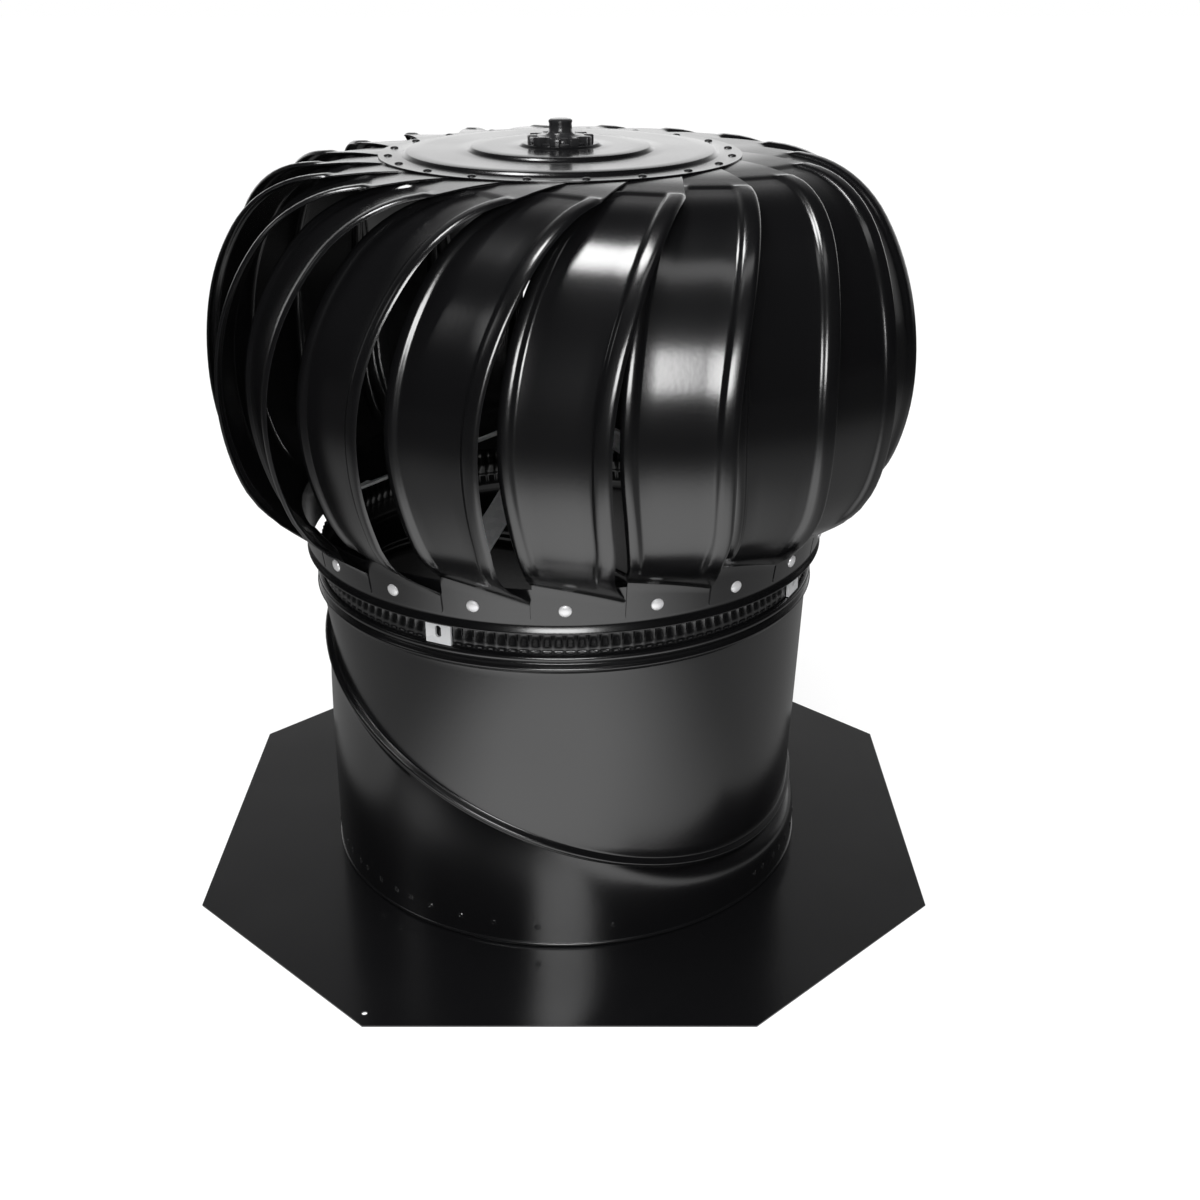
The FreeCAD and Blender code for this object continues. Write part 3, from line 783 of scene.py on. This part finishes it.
def makeFloor():
    # White for the camera, with the object's shadow kept; shiny sheet sees a lit patch of it in front
    floorLook = {"pale": (0.3, 0.3, 0.3, 1), "dark": (0.02, 0.02, 0.02, 1), "shown": 0.74}
    patch = {"middle": (-0.02, -0.45, 0.0), "front": (0.12, 0.5, 1.15, 0.0), "around": (0.6, 1.3, 0.22, 0.0)}
    bm = bmesh.new()
    bmesh.ops.create_grid(bm, x_segments=1, y_segments=1, size=8.0)
    mesh = bpy.data.meshes.new("floor")
    bm.to_mesh(mesh)
    bm.free()
    floor = bpy.data.objects.new("floor", mesh)
    bpy.context.scene.collection.objects.link(floor)
    floor.location.z = -0.0002
    values = {"Roughness": 0.9, "Specular IOR Level": 0.0, "Emission Color": (1, 1, 1, 1)}
    material, tree, surface = startMaterial("floorWhite", values)
    ray = addNode(tree, "ShaderNodeLightPath", (-900, 300))
    coords = addNode(tree, "ShaderNodeTexCoord", (-1100, -100))
    distance = addNode(tree, "ShaderNodeVectorMath", (-900, -100), operation="DISTANCE")
    distance.inputs[1].default_value = patch["middle"]
    away = addNode(tree, "ShaderNodeVectorMath", (-900, -350), operation="LENGTH")
    tree.links.new(coords.outputs["Object"], distance.inputs[0])
    tree.links.new(coords.outputs["Object"], away.inputs[0])
    front = addSpan(tree, (-700, -100), distance.outputs["Value"], patch["front"], "SMOOTHSTEP")
    around = addSpan(tree, (-700, -350), away.outputs["Value"], patch["around"], "SMOOTHSTEP")
    lit = addMath(tree, (-550, -200), "ADD", front, around)
    shiny = addMath(tree, (-450, 0), "MULTIPLY", ray.outputs["Is Glossy Ray"], lit)
    shown = addNode(tree, "ShaderNodeMath", (-250, 100), operation="MULTIPLY_ADD")
    shown.inputs[1].default_value = floorLook["shown"]
    tree.links.new(ray.outputs["Is Camera Ray"], shown.inputs[0])
    tree.links.new(shiny, shown.inputs[2])
    tree.links.new(shown.outputs["Value"], surface.inputs["Emission Strength"])
    mixInto(tree, (-450, 350), ray.outputs["Is Glossy Ray"], floorLook["pale"], floorLook["dark"],
            surface.inputs["Base Color"])
    mesh.materials.append(material)


def makeWorld():
    # White for the camera; a dark room with a white wall low behind for shiny sheet; plain grey light
    room = {"behind": (0.45, 0.85, 0.0, 1.0), "level": (0.17, 0.36, 1.5, 0.25), "dim": (0.5, 0.75, 1.0, 0.1)}
    world = bpy.data.worlds.new("studio")
    world.use_nodes = True
    tree = world.node_tree
    back = tree.nodes["Background"]
    back.inputs["Color"].default_value = (1, 1, 1, 1)
    ray = addNode(tree, "ShaderNodeLightPath", (-900, 300))
    coords = addNode(tree, "ShaderNodeTexCoord", (-1300, -100))
    parts = addNode(tree, "ShaderNodeSeparateXYZ", (-1100, -100))
    tree.links.new(coords.outputs["Generated"], parts.inputs["Vector"])
    behind = addSpan(tree, (-900, 0), parts.outputs["Y"], room["behind"])
    level = addSpan(tree, (-900, -250), parts.outputs["Z"], room["level"])
    dim = addSpan(tree, (-900, -500), parts.outputs["Z"], room["dim"])
    low = addMath(tree, (-700, -300), "MULTIPLY", level, dim)
    wall = addMath(tree, (-700, -100), "MULTIPLY", behind, low)
    straight, through = ray.outputs["Is Camera Ray"], ray.outputs["Is Transmission Ray"]
    direct = addMath(tree, (-700, 300), "MAXIMUM", straight, through)
    plain = addNode(tree, "ShaderNodeMix", (-500, 200))
    setInputs(plain, {"A": 0.6, "B": 1.0})
    shiny = addNode(tree, "ShaderNodeMix", (-300, 100))
    tree.links.new(direct, plain.inputs["Factor"])
    tree.links.new(ray.outputs["Is Glossy Ray"], shiny.inputs["Factor"])
    tree.links.new(plain.outputs["Result"], shiny.inputs["A"])
    tree.links.new(wall, shiny.inputs["B"])
    tree.links.new(shiny.outputs["Result"], back.inputs["Strength"])
    bpy.context.scene.world = world


def addLamp(name, size, power, place, target):
    light = bpy.data.lights.new(name, "AREA")
    light.shape = "RECTANGLE"
    light.size, light.size_y = size
    light.energy = power
    lamp = bpy.data.objects.new(name, light)
    lamp.location = place
    lamp.rotation_euler = (Vector(target) - Vector(place)).to_track_quat("-Z", "Y").to_euler()
    bpy.context.scene.collection.objects.link(lamp)


def addSoftDaylight():
    # Even light from above for matt surfaces; the shiny ones show the lamps instead
    sky = {"strength": 1.2, "spread": 40, "tilt": 25, "turn": 15}
    light = bpy.data.lights.new("softDaylight", "SUN")
    light.energy = sky["strength"]
    light.angle = radians(sky["spread"])
    lamp = bpy.data.objects.new("softDaylight", light)
    lamp.rotation_euler = (radians(sky["tilt"]), 0, radians(sky["turn"]))
    lamp.visible_glossy = False
    bpy.context.scene.collection.objects.link(lamp)


def makeCamera():
    # Fitted to the rims, the plate's corners and the rivets of the real one
    view = {"lens": 47.18, "place": (0.0226, -0.9298, 0.5736), "tilt": 66.02}
    camera = bpy.data.objects.new("camera", bpy.data.cameras.new("camera"))
    camera.data.lens = view["lens"]
    camera.location = view["place"]
    camera.rotation_euler = (radians(view["tilt"]), 0, 0)
    bpy.context.scene.collection.objects.link(camera)
    bpy.context.scene.camera = camera


makeFloor()
makeWorld()
addSoftDaylight()
addLamp("frontBox", (0.5, 0.36), 6.4, (-0.01, -1.16, 0.7), (0, 0, 0.3))
addLamp("overheadBox", (0.46, 0.34), 7.0, (-0.34, -0.2, 1.45), (0, 0, 0.35))
addLamp("highBox", (0.8, 0.25), 0.8, (0.2, -0.65, 1.5), (0, 0, 0.35))
addLamp("leftBox", (0.3, 0.3), 0.3, (-1.2, -0.25, 0.98), (0, 0, 0.38))
makeCamera()
print("stage, lamps and camera set")

scene = bpy.context.scene
scene.view_settings.view_transform = "Standard"
